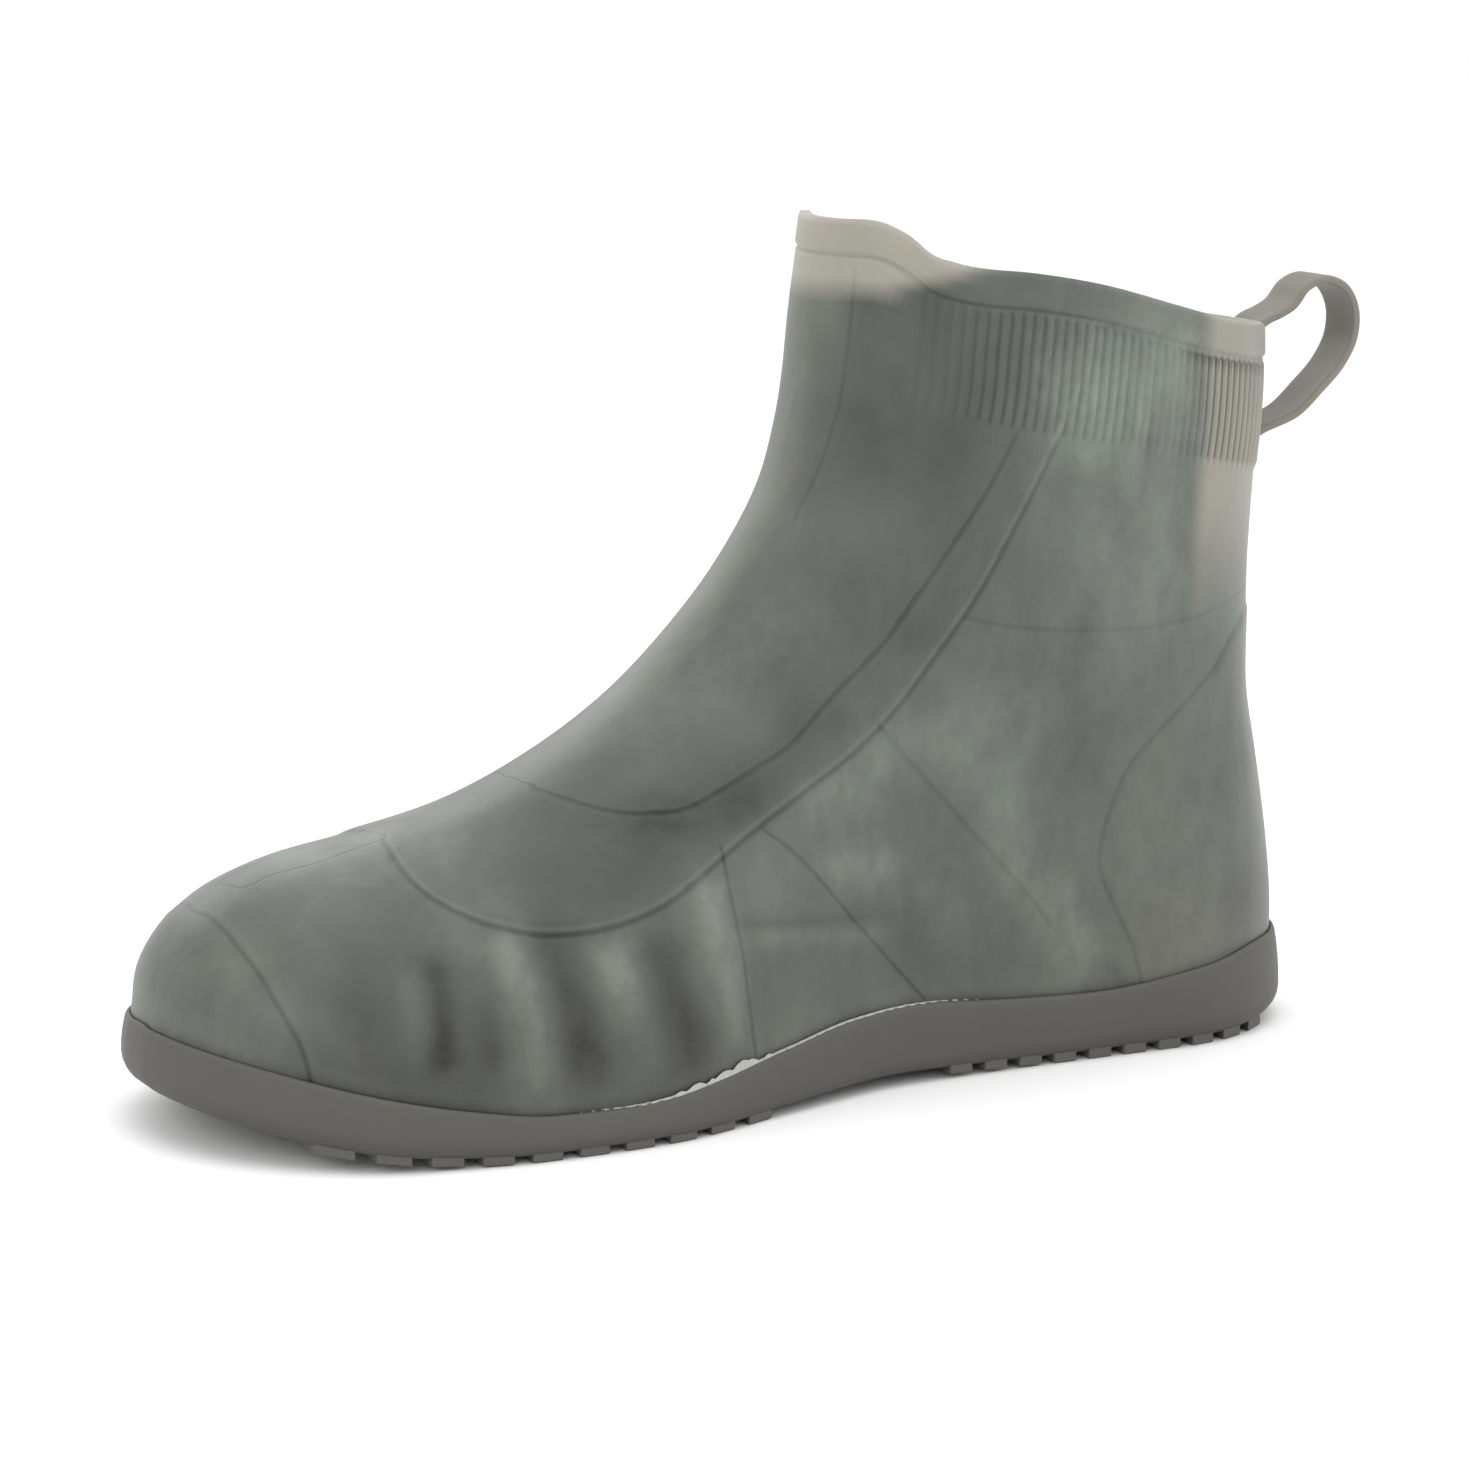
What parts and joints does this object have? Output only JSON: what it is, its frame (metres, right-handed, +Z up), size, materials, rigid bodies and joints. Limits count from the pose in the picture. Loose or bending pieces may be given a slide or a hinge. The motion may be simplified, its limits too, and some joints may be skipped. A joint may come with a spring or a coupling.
{
  "type": "rubber overshoe",
  "caption": "Ankle-high moulded rubber overshoe for a left foot, hollow and open at the collar, with a raised front tab, ribbed collar band, cup sole with tread lugs and a heel pull loop.",
  "frame": {"origin": "on the floor, under the middle of the whole overshoe's length and width", "axes": "+X from the heel to the toe, +Y towards the outer side of the left foot, +Z up; the sole rests on z = 0"},
  "size_m": [0.3196, 0.112, 0.2016],
  "materials": {
    "upper_rubber": "smoky translucent moulded rubber, matt to satin",
    "outsole_rubber": "grey-brown moulded rubber, matt",
    "loop_rubber": "pale beige translucent rubber, satin"
  },
  "bodies": {
    "root": {"upper": "upper_rubber", "outsole": "outsole_rubber", "pull_loop": "loop_rubber"}
  },
  "joints": []
}
